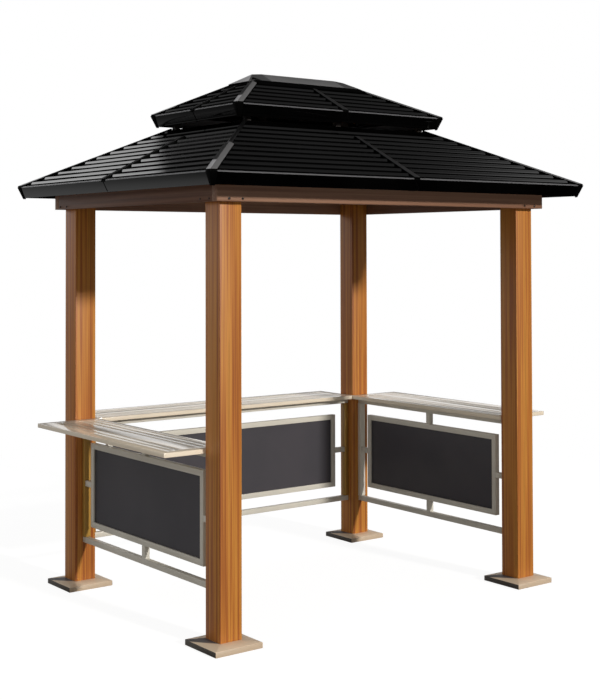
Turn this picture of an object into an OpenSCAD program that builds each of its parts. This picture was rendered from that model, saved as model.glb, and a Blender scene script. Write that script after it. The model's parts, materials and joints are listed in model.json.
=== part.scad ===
// Grill gazebo with a double-tier hip roof and a slatted shelf on three sides.
// Millimetres, +Z up. The long open side faces -Y. The origin is on the ground
// under the middle of the roof.

/* [Posts] */
// Distance between post centres along the long sides
post_span_x = 1938; // [1500:1:2600]
// Distance between post centres along the short sides
post_span_y = 1410; // [1250:1:1900]
// Width of a square post
post_w = 120; // [80:1:150]
// Wall of a post tube
post_wall = 2; // [1.5:0.1:5]

/* [Feet] */
// Width of the square foot plate under a post
foot_w = 240; // [225:1:244]
// Thickness of a foot plate
foot_t = 8; // [4:0.5:12]
// Distance between the anchor holes of a foot plate
anchor_spacing = 190; // [160:1:200]
// Radius of an anchor hole
anchor_r = 6.5; // [4:0.5:8]
// Width of a square base cover
cover_w = 258; // [250:1:320]
// Height of the upright rim of a base cover
cover_rim_h = 26; // [16:1:40]
// Rise of the sloping top of a base cover, from its rim to the post
cover_rise = 10; // [4:1:30]
// Thickness of a base cover
cover_t = 2; // [1:0.1:4]
// Clearance between a base cover and its post
cover_gap = 0.3; // [0.1:0.1:1]

/* [Beams] */
// Height of the underside of the beams above the ground
head_h = 2045; // [1800:1:2400]
// Height of a beam
beam_h = 140; // [90:1:200]
// Thickness of a beam, outside the posts
beam_t = 43; // [25:1:60]

/* [Lower roof] */
// Overhang of the eave past the outer post faces at the two ends
overhang_x = 187; // [150:1:300]
// Overhang of the eave past the outer post faces at the front and the back
overhang_y = 208; // [190:1:310]
// Rise of the roof over its run
roof_slope = 0.5; // [0.35:0.01:0.6]
// Horizontal run of the lower sheets, from the eave inwards
lower_run = 620; // [560:1:660]
// Thickness of the roofing sheets, fascias and caps
sheet_t = 3; // [1:0.1:4]
// Distance from rib to rib, up the slope
rib_pitch = 60.6; // [50:0.1:90]
// Width of a rib at its foot
rib_w = 46; // [30:1:48]
// Height of a rib above the flats between the ribs
rib_h = 7; // [4:0.5:16]
// Distance of the first rib from the eave, up the slope
rib_first = 56; // [54:1:80]
// Gap between two sheets along a hip
hip_gap = 1; // [0.5:0.1:3]

/* [Fascias and caps] */
// Height of a fascia
fascia_h = 59; // [50:1:80]
// How far the foot of a fascia leans in
fascia_lean = 22; // [8:1:32]
// Width of the folded return at the foot of a fascia
fascia_return = 16; // [8:1:24]
// Width of the fascia's lip on top of the sheet, in plan
fascia_lip = 25; // [12:1:26]
// Clearance between the sheets and fascias and what lies over them
cap_gap = 0.3; // [0.1:0.1:0.8]
// Length of the two legs of a fascia corner piece
corner_leg = 38; // [25:1:60]
// How far a fascia corner piece reaches below the fascia
corner_drop = 6; // [3:1:12]
// Half width of a hip cap
hip_cap_w = 25; // [18:1:36]
// Horizontal run of a hip cap, from the eave inwards
hip_cap_run = 306; // [200:1:400]
// Half width of a batten at the eave
batten_w = 20; // [12:1:30]
// Half width of a batten at its upper end
batten_tip_w = 13; // [8:1:20]
// Half width of the ridge cap
ridge_cap_w = 95; // [70:1:120]
// Run of the steep end faces of the ridge cap
ridge_cap_end = 49; // [30:1:70]
// Height of the upright rim of the ridge cap
ridge_cap_rim = 6.5; // [4:0.5:14]

/* [Upper roof] */
// Inset of the upper eave from the lower eave at the two ends
upper_inset_x = 523; // [505:1:560]
// Inset of the upper eave from the lower eave at the front and the back
upper_inset_y = 556; // [510:1:570]
// Height of the upper eave above the slope of the lower roof
tier_lift = 120; // [100:1:160]

/* [Roof frame] */
// Width of the rafters
rafter_w = 40; // [30:1:60]
// Upright depth of the lower rafters
rafter_h = 75; // [70:1:90]
// How deep the lower rafters are notched over the end beams
rafter_notch = 24; // [18:1:30]
// Upright depth of the upper rafters
upper_rafter_h = 45; // [30:1:60]
// Width of the ring that carries the upper roof
ring_w = 40; // [30:1:50]
// Width of the uprights between the ring and the upper roof
upright_w = 30; // [20:1:40]

/* [Shelves] */
// Height of the top of the shelves above the ground
shelf_h = 904; // [800:1:1100]
// Thickness of a shelf
shelf_t = 22; // [15:1:35]
// Width of the two end shelves
end_shelf_w = 353; // [330:1:420]
// Width of the back shelf
back_shelf_w = 338; // [300:1:400]
// How far the inner edge of a shelf stands in from the post faces
shelf_inset = 10; // [2:1:20]
// Distance of the first slot from the inner edge of a shelf
slot_first = 44; // [35:1:55]
// Distance between slots
slot_pitch = 46; // [40:1:48]
// Width of a slot
slot_w = 9; // [4:0.5:14]
// Distance of the slot ends from the end of a shelf
slot_end = 60; // [40:1:100]

/* [Bays] */
// Width of the square tubes of the rails and frames
tube_w = 30; // [22:1:36]
// Height of the underside of the bottom rail above the ground
rail_h = 242; // [150:1:300]
// Gap between the rails and the frame above and below it
rail_gap = 65; // [40:1:90]
// Gap between the posts and the frame in the end bays
end_bay_gap = 90; // [60:1:120]
// Gap between the posts and the frame in the back bay
back_bay_gap = 104; // [60:1:130]
// Width of a stile against a post
stile_w = 38; // [30:1:44]
// Depth of a stile, out from the post
stile_d = 28; // [16:1:34]
// Thickness of an infill panel
panel_t = 6; // [3:0.5:10]
// How far an infill panel reaches into its frame
panel_in = 8; // [4:0.5:12]
// Clearance of an infill panel in its groove
panel_gap = 0.3; // [0.1:0.1:0.5]

/* [Hidden] */

wood = "sienna";
dark_wood = "saddlebrown";
black = "dimgray";
steel = "slategray";
beige = "tan";
tube_grey = "darkkhaki";
infill = "darkslategray";

over = 1;                                // how far a cutting solid runs past what it cuts

// Posts and beams
post_x = post_span_x / 2;
post_y = post_span_y / 2;
face_x = post_x + post_w / 2;            // outer post faces
face_y = post_y + post_w / 2;
clear_x = post_x - post_w / 2;           // inner post faces
clear_y = post_y - post_w / 2;
beam_top = head_h + beam_h;

// Roof: a surface is named by its height at the eave, and every surface has the roof's slope
pitch = atan(roof_slope);
sheet_v = sheet_t / cos(pitch);          // upright thickness of a sheet on the slope
rib_v = rib_h / cos(pitch);
eave_x = face_x + overhang_x;
eave_y = face_y + overhang_y;
seat_h = rafter_h - rafter_notch;        // rafter left above the end beams
eave_h = beam_top + seat_h + 2 * sheet_v - roof_slope * (overhang_x - beam_t);
ring_x = eave_x - lower_run + ring_w;    // outer faces of the ring
ring_y = eave_y - lower_run + ring_w;
ring_top = eave_h + roof_slope * lower_run;
ring_bottom = eave_h - 2 * sheet_v + roof_slope * (lower_run - ring_w) - rafter_h;
upper_x = eave_x - upper_inset_x;
upper_y = eave_y - upper_inset_y;
upper_h = eave_h + roof_slope * upper_inset_x + tier_lift;
ridge_x = upper_x - upper_y;             // half length of the ridge
roof_top = upper_h + roof_slope * upper_y;
rib_top = rib_v - sheet_v + cap_gap;     // clear of the ribs, above the line of the eave
cap_level = rib_h + cap_gap + sheet_t;   // outside of the caps, square to the slope
cap_top = cap_level / cos(pitch) - sheet_v;
lip_end = (fascia_lip + cap_gap) / cos(pitch) + sheet_v * sin(pitch);
cap_rise = roof_slope * ridge_cap_w;
sheet_in = fascia_lean * 0.25 + sheet_t; // plan distance from the eave to the sheet's end
tail_in = fascia_lean + fascia_return + 2 * sheet_t;
fascia_slant = fascia_lean / fascia_h;
rib_steps = 8;
cap_stop = 16;                           // a hip cap stops short of the ridge cap
cap_round = 10;                          // cut corners at the upper end of a hip cap
batten_stop = 50;                        // a batten stops short of the top of its sheet

// Bays
shelf_under = shelf_h - shelf_t;
top_rail_z = shelf_under - tube_w;
rail_top = rail_h + tube_w;
frame_low = rail_top + rail_gap;
frame_high = top_rail_z - rail_gap;
slot_rows = [0, 1, 2, 4, 5];             // the place of the fourth slot is a wide plain bar

// ---- helpers ----

// Repeats what is built at the front left corner at all four corners
module four_corners() {
    for (sx = [0, 1], sy = [0, 1])
        mirror([sx, 0, 0]) mirror([0, sy, 0]) children();
}

// Repeats what is built at the front at the back
module front_and_back() {
    for (turn = [0, 180]) rotate([0, 0, turn]) children();
}

// Extrudes an outline of (y, z) points along X, centred
module along_x(length) {
    translate([-length / 2, 0, 0]) rotate([90, 0, 90]) linear_extrude(length) children();
}

// The solid from the ground up to a hip roof with its eaves at x, y and height z
module hip_form(x, y, z) {
    intersection() {
        along_x(2 * x) polygon([[-y, 0], [y, 0], [y, z], [0, z + roof_slope * y], [-y, z]]);
        rotate([0, 0, 90]) along_x(2 * y)
            polygon([[-x, 0], [x, 0], [x, z], [0, z + roof_slope * x], [-x, z]]);
    }
}

// The upright wedge of plan that belongs to the front side of a hip roof
module front_wedge(x, y, start, run, gap, z_low, z_high) {
    translate([0, 0, z_low]) linear_extrude(z_high - z_low)
        polygon([[-x + start + gap, -y + start], [x - start - gap, -y + start],
                 [x - run - gap, -y + run], [-x + run + gap, -y + run]]);
}

// ---- posts and feet ----

module post(sx, sy) {
    color(wood) translate([sx * post_x, sy * post_y, foot_t])
        linear_extrude(beam_top - foot_t) difference() {
            square(post_w, center = true);
            square(post_w - 2 * post_wall, center = true);
        }
}

module foot_plates() {
    color(steel) four_corners() translate([-post_x, -post_y, 0]) difference() {
        translate([-foot_w / 2, -foot_w / 2, 0]) cube([foot_w, foot_w, foot_t]);
        for (ax = [-1, 1], ay = [-1, 1])
            translate([ax * anchor_spacing / 2, ay * anchor_spacing / 2, -over])
                cylinder(r = anchor_r, h = foot_t + 2 * over, $fn = 48);
    }
}

// A low pyramid on a square upright rim; drop lowers it for the hollow inside
module cover_form(width, drop) {
    side = width / 2;
    neck = post_w / 2;
    outline = [[-side, -over * drop], [side, -over * drop], [side, cover_rim_h - drop],
               [neck, cover_rim_h + cover_rise - drop], [-neck, cover_rim_h + cover_rise - drop],
               [-side, cover_rim_h - drop]];
    intersection() {
        along_x(width) polygon(outline);
        rotate([0, 0, 90]) along_x(width) polygon(outline);
    }
}

module base_covers() {
    hole = post_w + 2 * cover_gap;
    color(beige) four_corners() translate([-post_x, -post_y, 0]) difference() {
        cover_form(cover_w, 0);
        cover_form(cover_w - 2 * cover_t, cover_t);
        translate([-hole / 2, -hole / 2, 0]) cube([hole, hole, cover_rim_h + 2 * cover_rise]);
    }
}

// ---- beams ----

module long_beam(side) {
    color(dark_wood) translate([-face_x - beam_t, side * (face_y + beam_t / 2) - beam_t / 2, head_h])
        cube([2 * (face_x + beam_t), beam_t, beam_h]);
}

module end_beams() {
    color(dark_wood) for (side = [-1, 1])
        translate([side * (face_x + beam_t / 2) - beam_t / 2, -face_y, head_h])
            cube([beam_t, 2 * face_y, beam_h]);
}

// ---- roof covering ----

// Outline of a ribbed sheet: x runs up the slope, y is square to it
function rib_line(length, drop) = [
    for (k = [0 : floor((length - rib_first - rib_w / 2 - sheet_t) / rib_pitch)], i = [0 : rib_steps])
        [rib_first + k * rib_pitch + rib_w * (i / rib_steps - 0.5),
         rib_h * (1 - cos(360 * i / rib_steps)) / 2 - drop]
];

function reversed(list) = [for (i = [len(list) - 1 : -1 : 0]) list[i]];

// A sheet on the front slope of a hip roof
module sheet(x, y, z, run) {
    length = run / cos(pitch) + sheet_t;
    outline = concat([[0, 0]], rib_line(length, 0), [[length, 0], [length, -sheet_t]],
                     reversed(rib_line(length, sheet_t)), [[0, -sheet_t]]);
    intersection() {
        translate([0, -y, z - sheet_v]) rotate([pitch, 0, 0]) along_x(2 * x) polygon(outline);
        front_wedge(x, y, sheet_in, run, hip_gap, z - fascia_h, z + roof_slope * run + 2 * rib_v);
    }
}

// A folded fascia on the front eave: a lip on the sheet, a leaning face and a return
module fascia(x, y, z) {
    lip_rise = roof_slope * fascia_lip;
    outline = [[0, 0], [fascia_lean, -fascia_h], [fascia_lean + fascia_return, -fascia_h],
               [fascia_lean + fascia_return, -fascia_h + sheet_t],
               [fascia_lean + sheet_t, -fascia_h + sheet_t],
               [sheet_t, -sheet_v + roof_slope * sheet_t],
               [fascia_lip, -sheet_v + lip_rise], [fascia_lip, lip_rise]];
    depth = fascia_lip + fascia_lean + fascia_return;
    intersection() {
        translate([0, -y, z]) along_x(2 * x) polygon(outline);
        front_wedge(x, y, 0, depth, 0, z - fascia_h - over, z + lip_rise + over);
    }
}

// A block whose four sides lean like the fascias, grown outwards
module lean_form(x, y, z, grow, low, high) {
    intersection() {
        along_x(2 * (x + corner_leg)) polygon(lean_outline(y + grow, z, low, high));
        rotate([0, 0, 90]) along_x(2 * (y + corner_leg)) polygon(lean_outline(x + grow, z, low, high));
    }
}

function lean_outline(half, z, low, high) = [
    [-half - fascia_slant * low, z + low], [half + fascia_slant * low, z + low],
    [half + fascia_slant * high, z + high], [-half - fascia_slant * high, z + high]
];

// Angle pieces that close the mitred ends of the fascias
module corner_pieces(x, y, z) {
    low = -fascia_h - corner_drop;
    intersection() {
        difference() {
            lean_form(x, y, z, cap_gap + sheet_t, low, 0);
            lean_form(x, y, z, cap_gap, low - over, over);
        }
        four_corners() translate([-x - corner_leg, -y - corner_leg, z - 2 * fascia_h])
            cube([2 * corner_leg, 2 * corner_leg, 3 * fascia_h]);
    }
}

// A line over the lip and the ribs of a slope, raised by cap_gap, for what is scribed to them
function scribe_line(length) = concat(
    [[-2 * over, sheet_t + cap_gap], [lip_end, sheet_t + cap_gap], [lip_end, cap_gap]],
    rib_line(length, -cap_gap)
);

// Turns points of a slope into plan distance and height from the eave
function on_slope(points) = [
    for (p = points)
        [p[0] * cos(pitch) - p[1] * sin(pitch), p[0] * sin(pitch) + p[1] * cos(pitch) - sheet_v]
];

// Extrudes an outline of (y, z) points along X, past an eave corner at the origin
module slope_prism(reach) {
    translate([-over, 0, 0]) rotate([90, 0, 90]) linear_extrude(reach) children();
}

// What lies under both slopes that meet at an eave corner
module both_slopes() {
    intersection() {
        children();
        mirror([1, -1, 0]) children();
    }
}

// A cap over the hip at an eave corner, up to a plan run, scribed over the lips and ribs
module hip_cap(run) {
    reach = run * sqrt(2);
    far = run + 2 * rib_pitch;
    line = on_slope(concat(scribe_line(far / cos(pitch)), [[far / cos(pitch), cap_gap]]));
    difference() {
        intersection() {
            both_slopes() slope_prism(far)
                polygon([[0, -fascia_h], [far, -fascia_h],
                         [far, cap_top + roof_slope * far], [0, cap_top]]);
            rotate([0, 0, 45]) translate([0, 0, -fascia_h]) linear_extrude(fascia_h + far)
                polygon([[-2 * hip_cap_w, -hip_cap_w], [reach - cap_round, -hip_cap_w],
                         [reach, cap_round - hip_cap_w], [reach, hip_cap_w - cap_round],
                         [reach - cap_round, hip_cap_w], [-2 * hip_cap_w, hip_cap_w]]);
        }
        both_slopes() slope_prism(far + over)
            polygon(concat(line, [[far + over, -2 * fascia_h], [line[0][0], -2 * fascia_h]]));
    }
}

// A batten up the middle of the front slope, scribed like the hip caps
module batten(y, z, run) {
    length = (run + 2 * rib_pitch) / cos(pitch);
    outline = concat(scribe_line(length),
                     [[length, cap_gap], [length, cap_level], [-2 * over, cap_level]]);
    intersection() {
        translate([0, -y, z]) along_x(3 * batten_w) polygon(on_slope(outline));
        translate([0, -y, 0]) linear_extrude(2 * z)
            polygon([[-batten_w, 0], [batten_w, 0], [batten_tip_w, run], [-batten_tip_w, run]]);
    }
}

module lower_sheet(turn, x, y) {
    color(black) rotate([0, 0, turn]) sheet(x, y, eave_h, lower_run);
}

// The upper sheets meet under the ridge cap
module upper_sheet(turn, x, y) {
    color(black) rotate([0, 0, turn]) sheet(x, y, upper_h, upper_y - hip_gap);
}

module fascia_pair(turn, x, y, z) {
    color(black) rotate([0, 0, turn]) front_and_back() fascia(x, y, z);
}

module fascia_corners() {
    color(black) corner_pieces(eave_x, eave_y, eave_h);
    color(black) corner_pieces(upper_x, upper_y, upper_h);
}

module hip_caps() {
    lower_stop = min(upper_inset_x, upper_inset_y) - cap_stop;
    upper_stop = upper_y - ridge_cap_w - cap_stop;
    color(black) four_corners() {
        translate([-eave_x, -eave_y, eave_h]) hip_cap(min(hip_cap_run, lower_stop));
        translate([-upper_x, -upper_y, upper_h]) hip_cap(min(hip_cap_run, upper_stop));
    }
}

module roof_battens() {
    lower_stop = min(upper_inset_x, upper_inset_y) - batten_stop;
    upper_stop = upper_y - ridge_cap_w - batten_stop;
    color(black) {
        front_and_back() batten(eave_y, eave_h, lower_stop);
        front_and_back() batten(upper_y, upper_h, upper_stop);
        rotate([0, 0, 90]) front_and_back() batten(eave_x, eave_h, lower_stop);
        rotate([0, 0, 90]) front_and_back() batten(upper_x, upper_h, upper_stop);
    }
}

// The ridge cap's outside, or with an inset the hollow under it
module ridge_form(inset, base, eaves) {
    half_y = ridge_cap_w - inset;
    half_x = ridge_x + half_y;
    rise = roof_slope * half_y;
    end_slope = cap_rise / ridge_cap_end;
    end_in = (rise + over) / end_slope;
    intersection() {
        along_x(2 * half_x)
            polygon([[-half_y, base], [half_y, base], [half_y, eaves],
                     [0, eaves + rise], [-half_y, eaves]]);
        rotate([0, 0, 90]) along_x(2 * half_y)
            polygon([[-half_x, base], [half_x, base],
                     [half_x, eaves], [half_x - end_in, eaves + rise + over],
                     [-half_x + end_in, eaves + rise + over], [-half_x, eaves]]);
    }
}

// Half of the outline of a ribbed roof, from the eave to the middle
function ribbed_side(half, z) = [
    for (p = on_slope(scribe_line(half / cos(pitch) + sheet_t))) [half - p[0], z + p[1]]
];

function ribbed_outline(half, z) = concat(
    [[ribbed_side(half, z)[0][0], 0]], ribbed_side(half, z),
    [[0, z - sheet_v + cap_gap + roof_slope * half]],
    reversed([for (p = ribbed_side(half, z)) [-p[0], p[1]]]), [[-ribbed_side(half, z)[0][0], 0]]
);

// The solid from the ground up to the ribbed sheets of a hip roof
module ribbed_form(x, y, z) {
    intersection() {
        along_x(2 * x) polygon(ribbed_outline(y, z));
        rotate([0, 0, 90]) along_x(2 * y) polygon(ribbed_outline(x, z));
    }
}

// The ridge cap's rim is scribed over the ribs too
module ridge_cap() {
    slope_z = upper_h + roof_slope * (upper_y - ridge_cap_w);
    foot = slope_z - 2 * sheet_v;
    rim_top = slope_z + rib_top + ridge_cap_rim;
    color(black) difference() {
        ridge_form(0, foot, rim_top);
        ridge_form(sheet_t, foot - over, rim_top - sheet_v + roof_slope * sheet_t);
        ribbed_form(upper_x, upper_y, upper_h);
    }
}

// ---- roof frame ----

// Everything that stands under the rafters at the beams
module beam_zone() {
    difference() {
        translate([-face_x - beam_t, -face_y - beam_t, 0])
            cube([2 * (face_x + beam_t), 2 * (face_y + beam_t), beam_top]);
        translate([-clear_x, -clear_y, -over])
            cube([2 * clear_x, 2 * clear_y, beam_top + 2 * over]);
    }
}

// A rafter along the front left hip, under a sheet
module hip_rafter(x, y, z, depth, run) {
    foot = tail_in * sqrt(2);
    reach = run * sqrt(2);
    rise = roof_slope / sqrt(2);
    under = z - 2 * sheet_v;
    intersection() {
        translate([-x, -y, 0]) rotate([0, 0, 45]) translate([reach / 2, 0, 0])
            rotate([0, 0, 90]) rotate([0, 0, -90]) rotate([90, 0, 0])
            translate([-reach / 2, 0, -rafter_w / 2]) linear_extrude(rafter_w)
                polygon([[foot, under + foot * rise - depth], [reach, under + reach * rise - depth],
                         [reach, under + reach * rise], [foot, under + foot * rise]]);
        hip_form(x, y, under);
    }
}

// A rafter up the middle of the front slope
module mid_rafter(y, z, run) {
    under = z - 2 * sheet_v;
    translate([0, -y, 0]) along_x(rafter_w)
        polygon([[tail_in, under + tail_in * roof_slope - rafter_h],
                 [run, under + run * roof_slope - rafter_h],
                 [run, under + run * roof_slope], [tail_in, under + tail_in * roof_slope]]);
}

module lower_rafters() {
    run = lower_run - ring_w;
    color(steel) difference() {
        union() {
            four_corners() hip_rafter(eave_x, eave_y, eave_h, rafter_h, run + ring_w);
            front_and_back() mid_rafter(eave_y, eave_h, run);
            rotate([0, 0, 90]) front_and_back() mid_rafter(eave_x, eave_h, run);
        }
        beam_zone();
        translate([-ring_x, -ring_y, 0]) cube([2 * ring_x, 2 * ring_y, ring_top]);
    }
}

module ring_long_tubes() {
    color(steel) intersection() {
        front_and_back() translate([-ring_x, -ring_y, ring_bottom])
            cube([2 * ring_x, ring_w, ring_top - ring_bottom]);
        hip_form(eave_x, eave_y, eave_h - 2 * sheet_v);
    }
}

module ring_cross_tubes() {
    color(steel) intersection() {
        front_and_back() translate([-ring_x, -ring_y + ring_w, ring_bottom])
            cube([ring_w, 2 * (ring_y - ring_w), ring_top - ring_bottom]);
        hip_form(eave_x, eave_y, eave_h - 2 * sheet_v);
    }
}

module upper_frame() {
    under = upper_h - 2 * sheet_v;
    four_corners() hip_rafter(upper_x, upper_y, upper_h, upper_rafter_h, upper_y);
    intersection() {
        translate([-ridge_x, -rafter_w / 2, under + roof_slope * upper_y - upper_rafter_h])
            cube([2 * ridge_x, rafter_w, upper_rafter_h]);
        hip_form(upper_x, upper_y, under);
    }
}

module upper_rafters() {
    color(steel) upper_frame();
}

module ring_uprights() {
    corner_x = ring_x - ring_w;
    corner_y = ring_y - ring_w;
    color(steel) difference() {
        intersection() {
            union() {
                four_corners() translate([-corner_x, -corner_y, ring_bottom])
                    cube([upright_w, upright_w, roof_top - ring_bottom]);
                front_and_back() translate([-upright_w / 2, -corner_y, ring_bottom])
                    cube([upright_w, upright_w, roof_top - ring_bottom]);
            }
            hip_form(upper_x, upper_y, upper_h - 2 * sheet_v);
        }
        upper_frame();
    }
}

// ---- shelves and bays ----

// A bay is drawn along X at the back, with its outside towards +Y, and turned to its side
module bay(turn) {
    rotate([0, 0, turn]) translate([0, turn == 0 ? post_y : post_x, 0]) children();
}

function bay_clear(turn) = turn == 0 ? clear_x : clear_y;
function bay_gap(turn) = turn == 0 ? back_bay_gap : end_bay_gap;

module shelf(turn, width) {
    half = bay_clear(turn);
    inner = -post_w / 2 - shelf_inset;
    notch = turn == 0 ? shelf_inset : 0;
    color(beige) bay(turn) translate([0, 0, shelf_under]) linear_extrude(shelf_t) difference() {
        union() {
            translate([-half, inner + shelf_inset]) square([2 * half, width - shelf_inset]);
            translate([-half + notch, inner]) square([2 * (half - notch), shelf_inset + over]);
        }
        for (k = slot_rows)
            translate([-half + slot_end, inner + slot_first + k * slot_pitch - slot_w / 2])
                square([2 * (half - slot_end), slot_w]);
    }
}

module bay_frame(turn) {
    half = bay_clear(turn) - bay_gap(turn);
    color(tube_grey) bay(turn) difference() {
        translate([-half, -tube_w / 2, frame_low])
            cube([2 * half, tube_w, frame_high - frame_low]);
        translate([-half + tube_w, -tube_w / 2 - over, frame_low + tube_w])
            cube([2 * (half - tube_w), tube_w + 2 * over, frame_high - frame_low - 2 * tube_w]);
        infill_plate(half, panel_gap);
    }
}

// The infill panel, or with a gap the groove that it stands in
module infill_plate(half, gap) {
    edge = tube_w - panel_in - gap;
    thick = panel_t + 2 * gap;
    translate([-half + edge, -thick / 2, frame_low + edge])
        cube([2 * (half - edge), thick, frame_high - frame_low - 2 * edge]);
}

module bay_panel(turn) {
    color(infill) bay(turn) infill_plate(bay_clear(turn) - bay_gap(turn), 0);
}

module bay_rails(turn) {
    half = bay_clear(turn);
    color(tube_grey) bay(turn) {
        translate([-half, -tube_w / 2, rail_h]) cube([2 * half, tube_w, tube_w]);
        translate([-tube_w / 2, -tube_w / 2, rail_top]) cube([tube_w, tube_w, rail_gap]);
        translate([-half, -tube_w / 2, top_rail_z]) cube([2 * half, tube_w, tube_w]);
        translate([-tube_w / 2, -tube_w / 2, frame_high]) cube([tube_w, tube_w, rail_gap]);
    }
}

module side_stubs() {
    middle = (frame_low + frame_high) / 2;
    color(tube_grey) for (turn = [0, 90, -90], side = [0, 1]) bay(turn) mirror([side, 0, 0])
        translate([bay_clear(turn) - bay_gap(turn), -tube_w / 2, middle - tube_w / 2])
            cube([bay_gap(turn) - stile_d, tube_w, tube_w]);
}

module stile_pair(turn) {
    bay(turn) for (side = [0, 1]) mirror([side, 0, 0])
        translate([bay_clear(turn) - stile_d, -stile_w / 2, rail_top])
            cube([stile_d, stile_w, top_rail_z - rail_top]);
}

module bay_stiles() {
    color(dark_wood) for (turn = [0, 90]) stile_pair(turn);
}

module right_stiles() {
    color(tube_grey) stile_pair(-90);
}

post(-1, -1);  // front_left_post
post(1, -1);  // front_right_post
post(-1, 1);  // back_left_post
post(1, 1);  // back_right_post
foot_plates();
base_covers();
long_beam(-1);  // front_beam
long_beam(1);  // back_beam
end_beams();
lower_sheet(0, eave_x, eave_y);  // lower_front_sheet
lower_sheet(180, eave_x, eave_y);  // lower_back_sheet
lower_sheet(-90, eave_y, eave_x);  // lower_left_sheet
lower_sheet(90, eave_y, eave_x);  // lower_right_sheet
fascia_pair(0, eave_x, eave_y, eave_h);  // lower_long_fascias
fascia_pair(90, eave_y, eave_x, eave_h);  // lower_end_fascias
lower_rafters();
ring_long_tubes();
ring_cross_tubes();
ring_uprights();
upper_sheet(0, upper_x, upper_y);  // upper_front_sheet
upper_sheet(180, upper_x, upper_y);  // upper_back_sheet
upper_sheet(-90, upper_y, upper_x);  // upper_left_sheet
upper_sheet(90, upper_y, upper_x);  // upper_right_sheet
fascia_pair(0, upper_x, upper_y, upper_h);  // upper_long_fascias
fascia_pair(90, upper_y, upper_x, upper_h);  // upper_end_fascias
upper_rafters();
fascia_corners();
hip_caps();
roof_battens();
ridge_cap();
shelf(90, end_shelf_w);  // left_shelf
shelf(0, back_shelf_w);  // back_shelf
shelf(-90, end_shelf_w);  // right_shelf
bay_frame(90);  // left_frame
bay_frame(0);  // back_frame
bay_frame(-90);  // right_frame
bay_panel(90);  // left_panel
bay_panel(0);  // back_panel
bay_panel(-90);  // right_panel
bay_rails(90);  // left_rails
bay_rails(0);  // back_rails
bay_rails(-90);  // right_rails
side_stubs();
bay_stiles();
right_stiles();
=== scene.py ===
"""Grill gazebo: finishes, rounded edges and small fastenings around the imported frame."""
import json
import math
from itertools import product

import bpy
from mathutils import Matrix, Vector


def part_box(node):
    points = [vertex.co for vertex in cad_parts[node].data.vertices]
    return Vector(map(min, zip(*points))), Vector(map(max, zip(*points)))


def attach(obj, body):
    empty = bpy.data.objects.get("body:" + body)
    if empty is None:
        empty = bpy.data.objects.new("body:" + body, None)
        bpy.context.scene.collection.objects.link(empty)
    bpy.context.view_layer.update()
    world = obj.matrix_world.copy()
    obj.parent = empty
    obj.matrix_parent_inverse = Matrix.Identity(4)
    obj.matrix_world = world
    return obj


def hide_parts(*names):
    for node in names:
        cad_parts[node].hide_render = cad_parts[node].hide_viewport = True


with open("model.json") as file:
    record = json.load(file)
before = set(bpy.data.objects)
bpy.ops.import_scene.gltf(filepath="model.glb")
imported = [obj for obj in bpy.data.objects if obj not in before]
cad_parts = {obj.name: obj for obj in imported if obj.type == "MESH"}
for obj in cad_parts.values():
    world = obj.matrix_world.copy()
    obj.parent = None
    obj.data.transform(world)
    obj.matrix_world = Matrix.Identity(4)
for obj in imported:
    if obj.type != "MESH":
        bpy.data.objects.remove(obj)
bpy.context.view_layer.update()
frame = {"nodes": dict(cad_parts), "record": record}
nodes = frame["nodes"]
slots = {part["node"]: part["material_slot"] for part in frame["record"]["subparts"]}


# ---------------------------------------------------------------- sizes, in metres

FASCIA_HEIGHT = 0.059                   # from the line of the eave down to the folded foot
FASCIA_LEAN = 0.022                     # how far that foot stands in
ROOF_SLOPE = 0.5                        # rise over run, on both tiers
ROOF_UP = 0.85                          # the normals of slopes, lips and caps rise more than this

# Each side's name, its turn from the front in degrees, and whether it is a long side or an end.
SIDES = (("front", 0, "long"), ("right", 90, "end"), ("back", 180, "long"), ("left", 270, "end"))


def tenths(measures):
    """Measures of the frame, to a tenth of a millimetre."""
    return [round(measure, 4) for measure in measures]


def outer_corner(node):
    """The highest corner of a node's box."""
    return tenths(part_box(node)[1])


def middle_of(node):
    """The middle of a node's box."""
    low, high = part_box(node)
    return tenths((low + high) / 2)


def eave_line(tier):
    """Half length, half width and level of the line at which a tier's slopes begin."""
    low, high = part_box(tier + "_long_fascias")
    return tenths((high.x, high.y, low.z + FASCIA_HEIGHT))


POST_X, POST_Y = middle_of("back_right_post")[:2]
POST_HALF = round(outer_corner("back_right_post")[0] - POST_X, 4)
BEAM_X, BEAM_Y, BEAM_TOP = outer_corner("back_beam")
RIDGE_X, RIDGE_Y, RIDGE_TOP = outer_corner("ridge_cap")
EAVES = {tier: eave_line(tier) for tier in ("lower", "upper")}


# ---------------------------------------------------------------- camera

def place_camera():
    """A standing person's view from the front left, nearly level, with the frame shifted down."""
    data = bpy.data.cameras.new("camera")
    data.sensor_width = 36.0
    data.lens = 67.314
    data.shift_x = 0.00304
    data.shift_y = -0.18794
    data.clip_end = 200.0
    camera = bpy.data.objects.new("camera", data)
    camera.location = (-4.34125, -5.75509, 1.82721)
    camera.rotation_euler = [math.radians(angle) for angle in (91.33, 0.13, -36.99)]
    bpy.context.scene.collection.objects.link(camera)
    bpy.context.scene.camera = camera


# ---------------------------------------------------------------- shader maths

def calculation(operation, reflected=False):
    """An operator of Value, which adds one Math node. The reflected form has a number on its left."""
    def operator(self, other):
        sides = [other, self] if reflected else [self, other]
        return self.shader.node("ShaderNodeMath", {"operation": operation}, sides)
    return operator


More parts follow.
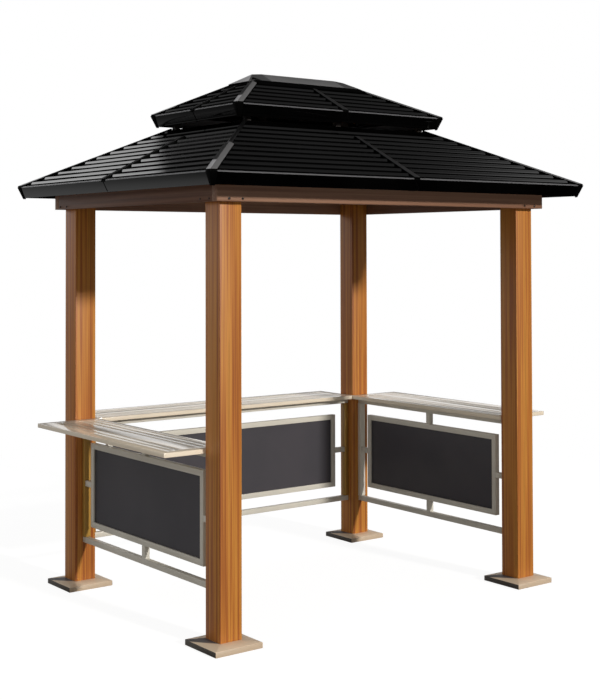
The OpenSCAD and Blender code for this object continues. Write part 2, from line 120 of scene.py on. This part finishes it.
class Value:
    """A socket that takes part in Python expressions."""

    def __init__(self, shader, socket):
        self.shader = shader
        self.socket = socket

    def math(self, operation, *others):
        return self.shader.node("ShaderNodeMath", {"operation": operation}, [self, *others])

    __add__ = calculation("ADD")
    __radd__ = calculation("ADD", reflected=True)
    __sub__ = calculation("SUBTRACT")
    __rsub__ = calculation("SUBTRACT", reflected=True)
    __mul__ = calculation("MULTIPLY")
    __rmul__ = calculation("MULTIPLY", reflected=True)


def set_stops(band, stops):
    """Gives a colour ramp its stops: pairs of a place and a colour."""
    while len(band) < len(stops):
        band.new(1.0)
    for element, (at, colour) in zip(band, stops):
        element.position = at
        element.color = colour


class Nodes:
    """The nodes of one material or world."""

    def __init__(self, tree):
        self.tree = tree

    def node(self, kind, settings=None, values=(), out=0):
        """Adds a node: its settings first, then the numbers or links of its sockets."""
        made = self.tree.nodes.new(kind)
        for key, value in (settings or {}).items():
            if key == "stops":
                set_stops(made.color_ramp.elements, value)
            else:
                setattr(made, key, value)
        for key, value in (values.items() if isinstance(values, dict) else enumerate(values)):
            if isinstance(value, Value):
                self.tree.links.new(value.socket, made.inputs[key])
            else:
                made.inputs[key].default_value = value
        return Value(self, made.outputs[out]) if made.outputs else None

    def axes(self, where):
        """The three numbers of a vector."""
        first = self.node("ShaderNodeSeparateXYZ", {}, [where])
        return [Value(self, socket) for socket in first.socket.node.outputs]

    def ramp(self, value, stops):
        return self.node("ShaderNodeValToRGB", {"stops": stops}, [value])

    def step(self, value, start, end, low=0.0, high=1.0):
        """A smooth change from low to high while the value goes from start to end."""
        return self.node("ShaderNodeMapRange", {"interpolation_type": "SMOOTHSTEP"},
                         {"Value": value, "From Min": start, "From Max": end,
                          "To Min": low, "To Max": high})

    def blend(self, share, low, high, how="MIX"):
        """Mixes two colours. Sockets 0, 6 and 7 of a Mix node are its share and its two colours."""
        return self.node("ShaderNodeMix", {"data_type": "RGBA", "blend_type": how},
                         {0: share, 6: low, 7: high}, out=2)


class Finish(Nodes):
    """A material under construction, with its Principled shader."""

    def __init__(self, name, **steady):
        self.material = bpy.data.materials.new(name)
        self.material.use_nodes = True
        super().__init__(self.material.node_tree)
        self.shader = self.tree.nodes["Principled BSDF"]
        for socket, value in steady.items():
            self.shader.inputs[socket.replace("_", " ")].default_value = value

    def place(self, scale=(1, 1, 1)):
        here = self.node("ShaderNodeTexCoord", out="Object")
        return self.node("ShaderNodeMapping", {}, {"Vector": here, "Scale": scale})

    def noise(self, place, scale, detail, rough):
        return self.node("ShaderNodeTexNoise", {},
                         {"Vector": place, "Scale": scale, "Detail": detail, "Roughness": rough})

    def put(self, **links):
        for socket, value in links.items():
            self.tree.links.new(value.socket, self.shader.inputs[socket.replace("_", " ")])

    def bump(self, height, strength, distance):
        lifted = self.node("ShaderNodeBump", {},
                           {"Height": height, "Strength": strength, "Distance": distance}, out="Normal")
        self.put(Normal=lifted)


def tone(red, green, blue):
    """An 8-bit screen colour as linear light."""
    def light(level):
        level = level / 255
        return level / 12.92 if level <= 0.04045 else ((level + 0.055) / 1.055) ** 2.4
    return (light(red), light(green), light(blue), 1.0)


def grey(level):
    return (level, level, level, 1.0)


# ---------------------------------------------------------------- finishes

POST_STOPS = [(0.33, tone(154, 86, 42)), (0.43, tone(180, 106, 46)), (0.50, tone(200, 126, 52)),
              (0.57, tone(216, 146, 62)), (0.66, tone(192, 128, 50))]
BEAM_STOPS = [(0.33, tone(140, 100, 78)), (0.5, tone(168, 126, 100)), (0.67, tone(186, 146, 118))]
# The end beams' print, darker all over than the long beams': painted shade.
SHADED_END_BEAM_STOPS = [(0.33, tone(112, 76, 56)), (0.5, tone(136, 96, 74)), (0.67, tone(152, 112, 88))]
STILE_STOPS = [(0.33, tone(154, 110, 52)), (0.5, tone(184, 140, 62)), (0.67, tone(204, 160, 74))]
STREAK_BROWN = (0.12, 0.06, 0.03, 1.0)


def wood_print(name, stops, along, depth=0.35):
    """Wood grain printed on metal: long straight stripes with finer streaks, along one axis."""
    made = Finish(name)
    coarse = [60.0, 60.0, 60.0]         # patches of tone to the metre, across the grain
    fine = [420.0, 420.0, 420.0]
    coarse[along] = 0.55                # and along it
    fine[along] = 5.0
    bands = made.noise(made.place(coarse), 1.0, 2.5, 0.62)
    streaks = made.noise(made.place(fine), 1.0, 3.0, 0.6)
    colour = made.ramp(bands * 0.82 + streaks * 0.18, stops)
    colour = made.blend(streaks * depth, colour, STREAK_BROWN, "MULTIPLY")
    made.put(Base_Color=colour, Roughness=bands * 0.12 + 0.36)
    made.bump(streaks, strength=0.12, distance=0.0004)
    return made.material


def satin_paint(name, colour, shade, roughness, shine=0.5):
    """Powder coat: an even colour with faint clouding, in colour and in gloss."""
    made = Finish(name, Specular_IOR_Level=shine)
    cloud = made.noise(made.place(), 3.0, 3.0, 0.5)
    made.put(Base_Color=made.blend(made.step(cloud, 0.35, 0.65), colour, shade),
             Roughness=cloud * 0.08 + (roughness - 0.04))
    return made.material


def shaded_cover(name, colour, shade):
    """The left slope of a base cover, with the post's shadow painted on it behind the post."""
    made = Finish(name, Roughness=0.5)
    x, y = made.axes(made.place())[:2]
    past_left_face = x - x.math("SIGN") * POST_X + POST_HALF
    past_front_face = y - y.math("SIGN") * POST_Y + POST_HALF
    past_line = past_left_face * 2.0 + past_front_face      # the edge of the painted shadow, a slanting line through that corner
    made.put(Base_Color=made.blend(made.step(past_line, -0.010, 0.016), colour, shade))
    return made.material


def make_finishes():
    return {
        "wood_print": wood_print("wood_print_posts", POST_STOPS, 2),
        "beam_long": wood_print("wood_print_long_beams", BEAM_STOPS, 0, depth=0.55),
        # the end beams take a darker copy of the beam print: painted shade
        "end_beam_painted_shade": wood_print("wood_print_end_beams_painted_shade", SHADED_END_BEAM_STOPS, 1, depth=0.55),
        "stile_print": wood_print("wood_print_stiles", STILE_STOPS, 2),
        "beige_paint": satin_paint("beige_base_covers", tone(238, 216, 188), tone(232, 210, 182), 0.5),
        "cover_slope_painted_shadow": shaded_cover("beige_cover_slopes_painted_shadow", tone(232, 210, 182), tone(84, 80, 81)),
        "cover_rim_painted_shade": satin_paint("beige_cover_rims_painted_shade", tone(206, 184, 158), tone(200, 178, 152), 0.5),
        "cover_left_rim_painted_shade": satin_paint("beige_cover_left_rims_painted_shade", tone(84, 76, 68), tone(78, 71, 64), 0.5),
        "plate_steel": satin_paint("foot_plate_paint", tone(86, 80, 74), tone(76, 70, 66), 0.55),
        "roof_black": satin_paint("roof_gloss_black", tone(1, 1, 1), tone(3, 3, 3), 0.055),
        "shaded_black": satin_paint("roof_upper_black", tone(1, 1, 1), tone(3, 3, 3), 0.09, shine=0.22),
        # matte black for fascia corners and seam plates, and as painted shade on folds, rims and closure
        # strips
        "matte_black_and_painted_shade": satin_paint("roof_matte_black_and_painted_shade", tone(2, 2, 2), tone(3, 3, 3), 0.6, shine=0.03),
        "strip_black": satin_paint("roof_strip_black", tone(12, 12, 12), tone(9, 9, 9), 0.3),
        "lip_painted_highlight": satin_paint("roof_lip_painted_highlight", tone(94, 94, 96), tone(88, 88, 90), 0.25),
        "painted_highlight_grey": satin_paint("roof_cap_painted_highlight", tone(184, 184, 186), tone(178, 178, 180), 0.45),
        "ridge_end_grey": satin_paint("roof_ridge_end_grey", tone(74, 74, 75), tone(70, 70, 71), 0.45),
        "cap_painted_shade": satin_paint("roof_cap_painted_shade", tone(60, 60, 60), tone(54, 54, 54), 0.45, shine=0.2),
        "cap_grey": satin_paint("roof_cap_grey", tone(108, 108, 109), tone(102, 102, 103), 0.45),
        "batten_grey": satin_paint("roof_batten_grey", tone(44, 44, 45), tone(38, 38, 39), 0.4),
        "frame_steel": satin_paint("roof_frame_brown", tone(40, 33, 29), tone(32, 26, 23), 0.5),
        "shelf_paint": satin_paint("shelf_cream", tone(242, 228, 206), tone(236, 222, 200), 0.15),
        "tube_paint": satin_paint("tube_beige", tone(218, 213, 200), tone(210, 205, 192), 0.38),
        "panel_dark": satin_paint("panel_charcoal", tone(72, 69, 74), tone(67, 65, 70), 0.4),
        "bolt_brown": satin_paint("bolt_brown", tone(84, 62, 50), tone(78, 57, 46), 0.4),
        "bolt_dark": satin_paint("bolt_dark", tone(40, 34, 30), tone(34, 29, 26), 0.4),
    }


def dress_frame(finishes):
    """Gives every CAD node its finish, which shows where no skin stands for it."""
    for name, slot in slots.items():
        if slot == "beam_print":
            # the end beams get the darker copy of the beam print, which is painted shade
            slot = "end_beam_painted_shade" if name == "end_beams" else "beam_long"
        nodes[name].data.materials.clear()
        nodes[name].data.materials.append(finishes[slot])


# ---------------------------------------------------------------- modelling

def pick(*objects):
    """Selects these objects and nothing else."""
    bpy.ops.object.select_all(action="DESELECT")
    for thing in objects:
        thing.select_set(True)
    bpy.context.view_layer.objects.active = objects[0]


def edit(piece, mode="EDGE"):
    pick(piece)
    bpy.ops.object.mode_set(mode="EDIT")
    bpy.ops.mesh.select_mode(type=mode)


def leave():
    bpy.ops.object.mode_set(mode="OBJECT")


def settle(piece):
    """Moves a piece's place, turn and size into its mesh."""
    pick(piece)
    bpy.ops.object.transform_apply(location=True, rotation=True, scale=True)
    return piece


def block(place, size):
    """A cube set at a place, which is a Matrix, and stretched to a size."""
    bpy.ops.object.select_all(action="DESELECT")
    bpy.ops.mesh.primitive_cube_add(size=1.0)
    cube = bpy.context.object
    cube.matrix_world = place @ Matrix.Diagonal((*size, 1.0))
    return settle(cube)


def turned(degrees, axis):
    return Matrix.Rotation(math.radians(degrees), 4, axis)


def finish_piece(piece, finish):
    """Gives a piece its finish and hangs it on the gazebo's one body."""
    piece.data.materials.clear()
    piece.data.materials.append(finish)
    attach(piece, "root")


def copy_of(name):
    """A clean copy of a CAD node: corners merged and flat faces made whole."""
    piece = bpy.data.objects.new(name + "_skin", nodes[name].data.copy())
    bpy.context.scene.collection.objects.link(piece)
    edit(piece)
    bpy.ops.mesh.select_all(action="SELECT")
    bpy.ops.mesh.remove_doubles(threshold=0.00001)
    bpy.ops.mesh.dissolve_limited(angle_limit=math.radians(0.5))
    leave()
    return piece


def every_edge(one, two):
    return True


def rolled_edge(one, two):
    """True at the outer top edge of a fascia, between its lip and its face."""
    return max(one.z, two.z) > ROOF_UP and min(one.z, two.z) < -0.2


def top_side(one, two):
    """True where one of two faces looks up the way a roof slope does."""
    return max(one.z, two.z) > ROOF_UP


def select_sharp_edges(piece, least, test):
    """Selects the edges whose two faces meet at more than an angle and pass a test."""
    mesh = piece.data
    meeting = {}
    for point in mesh.vertices:
        point.select = False
    for face in mesh.polygons:
        face.select = False
        for key in face.edge_keys:
            meeting.setdefault(key, []).append(face.normal)
    for edge in mesh.edges:
        pair = meeting.get(tuple(sorted(edge.vertices)), [])
        edge.select = (len(pair) == 2 and pair[0].angle(pair[1], 0.0) > math.radians(least)
                       and test(*pair))


def round_edges(piece, rounding, segments=2, least=25.0, test=every_edge, smooth=40.0):
    select_sharp_edges(piece, least, test)
    edit(piece)
    bpy.ops.mesh.bevel(offset=rounding, segments=segments, affect="EDGES", clamp_overlap=True)
    leave()
    pick(piece)
    bpy.ops.object.shade_smooth_by_angle(angle=math.radians(smooth))
    return piece


def skin(name, finish, rounding, **how):
    """A copy of a CAD node with rounded edges, which stands for it."""
    piece = round_edges(copy_of(name), rounding, **how)
    finish_piece(piece, finish)
    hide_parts(name)
    return piece


def score(piece, point, normal):
    """Scores a piece along a plane, so that faces end there."""
    edit(piece)
    bpy.ops.mesh.select_all(action="SELECT")
    bpy.ops.mesh.bisect(plane_co=point, plane_no=normal)
    leave()


def paint_faces(piece, finish, test):
    """Gives the faces that pass a test a finish of their own."""
    piece.data.materials.append(finish)
    for face in piece.data.polygons:
        if test(face):
            face.material_index = len(piece.data.materials) - 1


def join_all(name, pieces):
    pick(*pieces)
    bpy.ops.object.join()
    pieces[0].name = name
    pick(pieces[0])
    bpy.ops.object.shade_smooth_by_angle(angle=math.radians(35))
    return pieces[0]


# ---------------------------------------------------------------- skins of the frame's nodes

SIDEWAYS = 0.3                          # a face looks left or right when its normal leans more than this
PAINTED_HIGHLIGHT_HEIGHTS = {"lower": 0.0573, "upper": 0.0538}     # the top of the painted highlight at a hip cap's foot, above the eave
BETWEEN_TIERS = 2.5                     # hip caps below this level belong to the lower tier
RIDGE_END = 0.121                       # the length of the ridge cap's darker end
RIDGE_FOOT = 0.009                      # from the cap's end to the scored line near its foot


def is_fold(face):
    """True for the upright folded sides of a cap or a batten."""
    return face.normal.z < 0.5


def skin_posts_and_beams(finishes):
    for name in ("front_left_post", "front_right_post", "back_left_post", "back_right_post"):
        skin(name, finishes["wood_print"], rounding=0.004, segments=3)
    skin("front_beam", finishes["beam_long"], rounding=0.0025)
    skin("back_beam", finishes["beam_long"], rounding=0.0025)
    skin("end_beams", finishes["end_beam_painted_shade"], rounding=0.0025)


def skin_base_covers(finishes):
    """Base covers, with rims painted darker as shade, the post's shadow painted on the left slopes, and
    painted shade on the left rims.
    """
    def is_rim(face):
        return abs(face.normal.z) < 0.3

    def is_left_slope(face):
        return face.normal.x < -0.05 and face.normal.z > 0.3

    covers = skin("base_covers", finishes["beige_paint"], rounding=0.0015, least=8.0)
    # the left slopes carry the post's shadow, painted on
    paint_faces(covers, finishes["cover_slope_painted_shadow"], is_left_slope)
    # all rims painted a darker beige: painted shade
    paint_faces(covers, finishes["cover_rim_painted_shade"], is_rim)
    # the left rims painted dark: painted shade
    paint_faces(covers, finishes["cover_left_rim_painted_shade"], lambda face: is_rim(face) and face.normal.x < -0.7)


def skin_bays(finishes):
    for side in ("left", "back", "right"):
        skin(side + "_shelf", finishes["shelf_paint"], rounding=0.002)
        skin(side + "_frame", finishes["tube_paint"], rounding=0.002)
        skin(side + "_rails", finishes["tube_paint"], rounding=0.0025)
    skin("side_stubs", finishes["tube_paint"], rounding=0.002)
    skin("bay_stiles", finishes["stile_print"], rounding=0.003)
    skin("right_stiles", finishes["tube_paint"], rounding=0.003)


def skin_roof(finishes):
    """Fascias with the rolled edge painted grey as a highlight, ribbed sheets and corner pieces."""
    for tier in ("lower", "upper"):
        for side in ("long", "end"):
            black = finishes["shaded_black" if (tier, side) == ("upper", "end") else "roof_black"]
            fascia = skin("%s_%s_fascias" % (tier, side), black, rounding=0.007, segments=4,
                          test=rolled_edge, smooth=50.0)
            # the rolled edge between lip and face painted grey: a painted highlight
            paint_faces(fascia, finishes["lip_painted_highlight"], lambda face: 0.0 < face.normal.z < ROOF_UP)
        for side in ("front", "back", "left", "right"):
            skin("%s_%s_sheet" % (tier, side), finishes["roof_black"], rounding=0.0006, segments=1,
                 test=top_side, smooth=30.0)
    skin("fascia_corners", finishes["matte_black_and_painted_shade"], rounding=0.002)


def skin_hip_caps(finishes):
    """Hip caps: folds painted black as shade, the side on the end slopes painted darker as shade, and a
    painted highlight at that side's foot.
    """
    def on_end_slope(face):
        return abs(face.normal.x) > SIDEWAYS and not is_fold(face)

    def in_painted_highlight(face):
        tier = "lower" if face.center.z < BETWEEN_TIERS else "upper"
        return on_end_slope(face) and face.center.z < highlight_tops[tier]

    caps = skin("hip_caps", finishes["cap_grey"], rounding=0.0015, test=top_side)
    highlight_tops = {tier: level + PAINTED_HIGHLIGHT_HEIGHTS[tier] for tier, (_, _, level) in EAVES.items()}
    for height in highlight_tops.values():
        score(caps, (0, 0, height), (0, 0, 1))
    # the upright folds painted black: painted shade under the cap's edges
    paint_faces(caps, finishes["matte_black_and_painted_shade"], is_fold)
    # the side on the end slope painted darker: painted shade
    paint_faces(caps, finishes["cap_painted_shade"], on_end_slope)
    # the foot of the end-slope side painted pale: a painted highlight
    paint_faces(caps, finishes["painted_highlight_grey"], in_painted_highlight)


def skin_battens(finishes):
    battens = skin("roof_battens", finishes["batten_grey"], rounding=0.0015, test=top_side)
    # the upright folds painted black: painted shade
    paint_faces(battens, finishes["matte_black_and_painted_shade"], is_fold)


def skin_ridge_cap(finishes):
    """Ridge cap: darker ends, end slopes painted pale as a highlight, and rims painted black as shade.
    """
    end_line = RIDGE_X - RIDGE_END
    foot_line = RIDGE_X - RIDGE_FOOT
    ridge = skin("ridge_cap", finishes["cap_grey"], rounding=0.002)
    for side in (-1, 1):
        for line in (end_line, foot_line):
            score(ridge, (side * line, 0, 0), (side, 0, 0))
    spread_ridge_ends(ridge)
    paint_faces(ridge, finishes["ridge_end_grey"], lambda face: abs(face.center.x) > end_line)
    # the end slopes painted pale: a painted highlight
    paint_faces(ridge, finishes["painted_highlight_grey"], lambda face: abs(face.normal.x) > SIDEWAYS)
    # the rims painted black: painted shade
    paint_faces(ridge, finishes["matte_black_and_painted_shade"], lambda face: face.normal.z < 0.3)


def spread_ridge_ends(ridge):
    """Draws the foot of the ridge cap out and down at both ends, so that it laps the hip caps."""
    # Each row: from where to where past the cap's end, how far below its top, the moves out and up.
    moves = ((-0.0065, 0.029, 0.072, 0.0300, -0.0100),    # the foot and its rim
             (-0.016, -0.0065, 0.044, 0.0232, -0.0092),   # the scored line across each end
             (-0.066, -0.031, 0.012, -0.0080, -0.0055))   # the two points of the ridge
    for side in (-1, 1):
        for near, far, below, out, up in moves:
            for item in (*ridge.data.edges, *ridge.data.polygons):
                item.select = False
            for point in ridge.data.vertices:
                past_end = point.co.x * side - RIDGE_X
                point.select = near < past_end < far and point.co.z > RIDGE_TOP - below
            edit(ridge, "VERT")
            bpy.ops.transform.translate(value=(side * out, 0, up))
            leave()


def make_skins(finishes):
    skin_posts_and_beams(finishes)
    skin_base_covers(finishes)
    skin_bays(finishes)
    skin_roof(finishes)
    skin_hip_caps(finishes)
    skin_battens(finishes)
    skin_ridge_cap(finishes)


# ---------------------------------------------------------------- small pieces

# Each fascia's slanted joint plate: its distance from the middle, and its slant in degrees.
SEAMS = {("lower", "long"): (0.0035, -38), ("upper", "long"): (0.020, -25),
         ("lower", "end"): (0.004, -14), ("upper", "end"): (0.004, -14)}
SEAM_PLATE = (0.005, 0.0018, 0.060)     # width, thickness and height
SEAM_PLATE_IN = 0.0105                  # its middle, in from the line of the eave
SEAM_PLATE_DOWN = 0.029                 # and below it
SEAM_CLIP = (0.045, 0.016, 0.011)
SEAM_CLIP_IN = 0.0075
SEAM_CLIP_DOWN = 0.0045

# Closure strips round the ridge cap, black as a painted shadow under its edge.
CLOSURE_SHADOW_OUT = {"long": 0.003, "end": 0.019}             # its middle, past the ridge cap's edge
CLOSURE_SHADOW_SHORT = {"long": 0.016, "end": 0.009}           # its end, short of the cap's corner
CLOSURE_SHADOW_DEPTH = 0.050
CLOSURE_SHADOW_HEIGHT = 0.011

HIP_STRIP_RUNS = {"lower": (0.300, 0.618), "upper": (0.300, 0.330)}     # in plan, from the eave's corner
HIP_STRIP_HALVES = (0.012, 0.0062)      # half its width and half its height
HIP_STRIP_LIFT = 0.0014                 # above the line of the slopes

BOLT_SPREAD = 0.038                     # to either side of the middle of a post
BOLTS_DOWN = (0.127, 0.022)             # below the top of the beam
BOLT_RADIUS = 0.006
BOLT_FLANGE = 0.0016                    # the thickness of its flange
BOLT_STEP = 0.00168                     # from the flange's edge in to the head
BOLT_HEAD = 0.0034                      # the height of its head
BOLT_ROUND = 0.0012


def make_fascia_seams(finish):
    """At the middle of each fascia a slanted joint plate, and a clip over the lip below the batten."""
    width, thickness, height = SEAM_PLATE
    lean = Matrix.Rotation(math.atan2(FASCIA_LEAN, FASCIA_HEIGHT), 4, "X")
    for tier, (eave_x, eave_y, level) in EAVES.items():
        for name, turn, kind in SIDES:
            out = eave_y if kind == "long" else eave_x
            shift, slant = SEAMS[tier, kind]
            to_side = turned(turn, "Z")

            on_face = to_side @ Matrix.Translation((shift, SEAM_PLATE_IN - out, level - SEAM_PLATE_DOWN))
            length = height / math.cos(math.radians(slant))
            plate = block(on_face @ lean @ turned(slant, "Y"), (width, thickness, length))
            round_edges(plate, rounding=0.0004, segments=1)

            over_lip = to_side @ Matrix.Translation((0, SEAM_CLIP_IN - out, level - SEAM_CLIP_DOWN))
            clip = block(over_lip, SEAM_CLIP)
            round_edges(clip, rounding=0.005, segments=3)

            finish_piece(join_all("%s_%s_fascia_seam" % (tier, name), [plate, clip]), finish)


def make_closure_shadow_strips(finish):
    """Dark closure strips on the ribs round the foot of the ridge cap; their black is a painted shadow
    under the cap's edge.
    """
    eave_x, eave_y, level = EAVES["upper"]
    pitch = Matrix.Rotation(math.atan(ROOF_SLOPE), 4, "X")
    for name, turn, kind in SIDES:
        if kind == "long":
            eave, cap_edge, cap_half = eave_y, RIDGE_Y, RIDGE_X
        else:
            eave, cap_edge, cap_half = eave_x, RIDGE_X, RIDGE_Y
        out = cap_edge + CLOSURE_SHADOW_OUT[kind]
        length = 2 * (cap_half - CLOSURE_SHADOW_SHORT[kind])
        place = turned(turn, "Z") @ Matrix.Translation((0, -out, level + ROOF_SLOPE * (eave - out)))
        strip = block(place @ pitch, (length, CLOSURE_SHADOW_DEPTH, CLOSURE_SHADOW_HEIGHT))
        strip.name = "%s_ridge_closure_painted_shadow" % name
        round_edges(strip, rounding=0.003)
        finish_piece(strip, finish)


def make_hip_strip(name, tier, side_x, side_y, finish):
    """A slim folded strip that closes a hip above its cap, over the ends of the ribs."""
    eave_x, eave_y, level = EAVES[tier]
    climb = Vector((-side_x, -side_y, ROOF_SLOPE))
    corner = Vector((side_x * eave_x, side_y * eave_y, level))
    foot, head = (corner + climb * run for run in HIP_STRIP_RUNS[tier])
    along = climb.normalized()
    across = along.cross(Vector((0, 0, 1))).normalized()
    up = across.cross(along)
    bpy.ops.object.select_all(action="DESELECT")
    bpy.ops.mesh.primitive_cylinder_add(vertices=4, radius=1.0, depth=1.0)
    strip = bpy.context.object
    strip.name = name
    laid = Matrix((across, -up, along)).transposed().to_4x4()
    size = Matrix.Diagonal((*HIP_STRIP_HALVES, (head - foot).length, 1.0))
    strip.matrix_world = Matrix.Translation((foot + head) / 2 + up * HIP_STRIP_LIFT) @ laid @ size
    settle(strip)
    round_edges(strip, rounding=0.001)
    finish_piece(strip, finish)


def make_hip_strips(finish):
    for x_name, side_x in (("left", -1), ("right", 1)):
        for y_name, side_y in (("front", -1), ("back", 1)):
            for tier in EAVES:
                name = "%s_%s_%s_hip_strip" % (y_name, x_name, tier)
                make_hip_strip(name, tier, side_x, side_y, finish)


def make_bolt(place, outward):
    """A flanged round-headed bolt lying against a face."""
    outward = Vector(outward)
    bpy.ops.object.select_all(action="DESELECT")
    bpy.ops.mesh.primitive_cylinder_add(vertices=20, radius=BOLT_RADIUS, depth=BOLT_FLANGE,
                                        location=Vector(place) + outward * BOLT_FLANGE / 2,
                                        rotation=outward.to_track_quat("Z", "Y").to_euler())
    bolt = settle(bpy.context.object)
    for face in bolt.data.polygons:
        face.select = face.normal.dot(outward) > 0.9
    edit(bolt, "FACE")
    bpy.ops.mesh.inset(thickness=BOLT_STEP)
    bpy.ops.mesh.extrude_region_move(TRANSFORM_OT_translate={"value": outward * BOLT_HEAD})
    bpy.ops.mesh.bevel(offset=BOLT_ROUND, segments=2, affect="EDGES")
    leave()
    return bolt


def make_beam_bolts(finishes):
    """Eight bolts through each beam, four into each post."""
    for name, side in (("front", -1), ("back", 1), ("left", -1), ("right", 1)):
        long_beam = name in ("front", "back")
        bolts = []
        for post, shift, down in product((-1, 1), (-BOLT_SPREAD, BOLT_SPREAD), BOLTS_DOWN):
            height = BEAM_TOP - down
            if long_beam:
                bolts.append(make_bolt((post * POST_X + shift, side * BEAM_Y, height), (0, side, 0)))
            else:
                bolts.append(make_bolt((side * BEAM_X, post * POST_Y + shift, height), (side, 0, 0)))
        finish = finishes["bolt_dark" if long_beam else "bolt_brown"]
        finish_piece(join_all("%s_beam_bolts" % name, bolts), finish)


def make_small_pieces(finishes):
    make_fascia_seams(finishes["matte_black_and_painted_shade"])
    make_closure_shadow_strips(finishes["matte_black_and_painted_shade"])
    make_hip_strips(finishes["strip_black"])
    make_beam_bolts(finishes)


# ---------------------------------------------------------------- stage and light

WHITE = grey(1.0)
SKY_STOPS = [(0.0, grey(0.58)), (0.18, grey(0.54)), (0.5, grey(0.42)), (1.0, grey(0.40))]
BOARD_PLACE = (2.4, 3.2, 3.3)
BOARD_SIZE = (7.0, 0.02, 2.5)
BOARD_TURN = -37


def floor_finish():
    """A pale floor, which the camera sees almost white with a faint shadow, and white from 5 m out."""
    made = Finish("floor_pale", Base_Color=(0.5, 0.49, 0.48, 1.0), Roughness=0.9, Specular_IOR_Level=0.0)
    seen = made.node("ShaderNodeLightPath", out="Is Camera Ray")
    faint = made.node("ShaderNodeBsdfDiffuse", {}, {"Color": grey(0.22)})
    glow = made.node("ShaderNodeEmission", {}, {"Color": WHITE, "Strength": 0.905})
    white = made.node("ShaderNodeEmission", {}, {"Color": WHITE, "Strength": 1.0})
    near = made.node("ShaderNodeAddShader", {}, [faint, glow])
    distance = made.node("ShaderNodeVectorMath", {"operation": "LENGTH"}, [made.place()], out="Value")
    shown = made.node("ShaderNodeMixShader", {}, [made.step(distance, 2.5, 5.0), near, white])
    mixed = made.node("ShaderNodeMixShader", {}, [seen, Value(made, made.shader.outputs[0]), shown])
    made.tree.links.new(mixed.socket, made.tree.nodes["Material Output"].inputs["Surface"])
    return made.material


def mirrored_room(sky, x, y, z):
    """What glossy surfaces reflect: lit patches in a dark room. z is the sine of the height."""
    around = x.math("ARCTAN2", y)       # in radians, 0 at the back and growing to the right

    def patch(left, right, low, high, soft=0.04):
        """A lit patch between two directions and two heights, with soft edges."""
        across = sky.step(around, left - soft, left + soft)
        across = across * sky.step(around, right + soft / 4, right - soft / 4)
        return across * sky.step(z, low - soft, low + soft) * sky.step(z, high + soft, high - soft)

    # A bright band low on the walls, all round but for the front right quarter.
    horizon = patch(-3.2, 1.4, 0.05, 0.32, soft=0.03) * 1.15

    # The back wall lights one flank of each rib, up to a sharp edge that sinks towards the right.
    bend = (around - 0.02).math("MAXIMUM", 0.0)
    over_edge = z - (0.5165 - bend * bend * 0.9)
    flanks = (sky.step(around, 0.235, 0.15) * sky.step(around, -0.32, -0.18) * sky.step(z, 0.34, 0.40)
              * sky.step(z, 0.66, 0.60) * sky.step(over_edge, -0.0035, 0.0035, 1.4, 0.15))

    # High on the right wall, fading upwards, and the floor behind the gazebo.
    right_wall = patch(1.15, 2.2, 0.60, 0.85) * sky.step(z, 0.65, 0.71, 0.55, 0.12)
    floor = sky.step(around, 0.14, 0.06) * sky.step(around, -0.75, -0.30) * sky.step(z, 0.04, -0.04)

    ceiling = sky.step(z, 0.88, 0.95) * 0.30
    front = sky.step(y, 0.0, -0.3) * sky.step(z, 0.10, 0.50) * 0.22
    return horizon + flanks + right_wall + floor * 0.34 + (ceiling + front) + 0.004


def set_world():
    """White to the camera, a soft even light on surfaces, and a room of its own in reflections."""
    world = bpy.data.worlds.new("studio")
    bpy.context.scene.world = world
    world.use_nodes = True
    world.node_tree.nodes.clear()
    sky = Nodes(world.node_tree)
    x, y, z = sky.axes(sky.node("ShaderNodeTexCoord", out="Generated"))
    camera = sky.node("ShaderNodeLightPath", out="Is Camera Ray")
    mirror = sky.node("ShaderNodeLightPath", out="Is Glossy Ray")
    by_height = sky.ramp(z, SKY_STOPS)
    even = by_height * (0.82 - x * 0.28 + y * 0.35)     # more from the left and from the back
    mirrored = mirrored_room(sky, x, y, z)
    level = sky.node("ShaderNodeMix", {"data_type": "FLOAT"}, {0: mirror, 2: even, 3: mirrored})
    light = sky.node("ShaderNodeBackground", {}, {"Color": level, "Strength": 1.0})
    white = sky.node("ShaderNodeBackground", {}, {"Color": WHITE, "Strength": 1.0})
    mixed = sky.node("ShaderNodeMixShader", {}, [camera, light, white])
    sky.node("ShaderNodeOutputWorld", {}, {"Surface": mixed})


def set_sun():
    sun = bpy.data.lights.new("key", "SUN")
    sun.energy = 2.4
    sun.angle = math.radians(4.0)
    sun.color = (1.0, 0.97, 0.93)
    lamp = bpy.data.objects.new("key", sun)
    toward = Vector((-0.12, 0.93, -0.315))
    lamp.rotation_euler = toward.to_track_quat("-Z", "Y").to_euler()
    bpy.context.scene.collection.objects.link(lamp)


def make_floor():
    bpy.ops.object.select_all(action="DESELECT")
    bpy.ops.mesh.primitive_plane_add(size=120.0, location=(0, 0, -0.001))
    floor = settle(bpy.context.object)
    floor.name = "floor"
    floor.data.materials.append(floor_finish())
    floor.visible_glossy = False


def make_dark_board():
    """A dark board behind the roof that only reflections see: it keeps the rib crests black."""
    board = block(Matrix.Translation(BOARD_PLACE) @ turned(BOARD_TURN, "Z"), BOARD_SIZE)
    board.name = "dark_board"
    black = Finish("board_black", Base_Color=grey(0.0), Roughness=1.0, Specular_IOR_Level=0.0)
    board.data.materials.append(black.material)
    for ray in ("camera", "diffuse", "shadow", "transmission", "volume_scatter"):
        setattr(board, "visible_" + ray, False)


def set_stage():
    make_floor()
    make_dark_board()
    set_sun()
    set_world()
    bpy.context.scene.view_settings.view_transform = "Standard"


place_camera()
finishes = make_finishes()
dress_frame(finishes)
make_skins(finishes)
make_small_pieces(finishes)
set_stage()

bpy.context.view_layer.update()
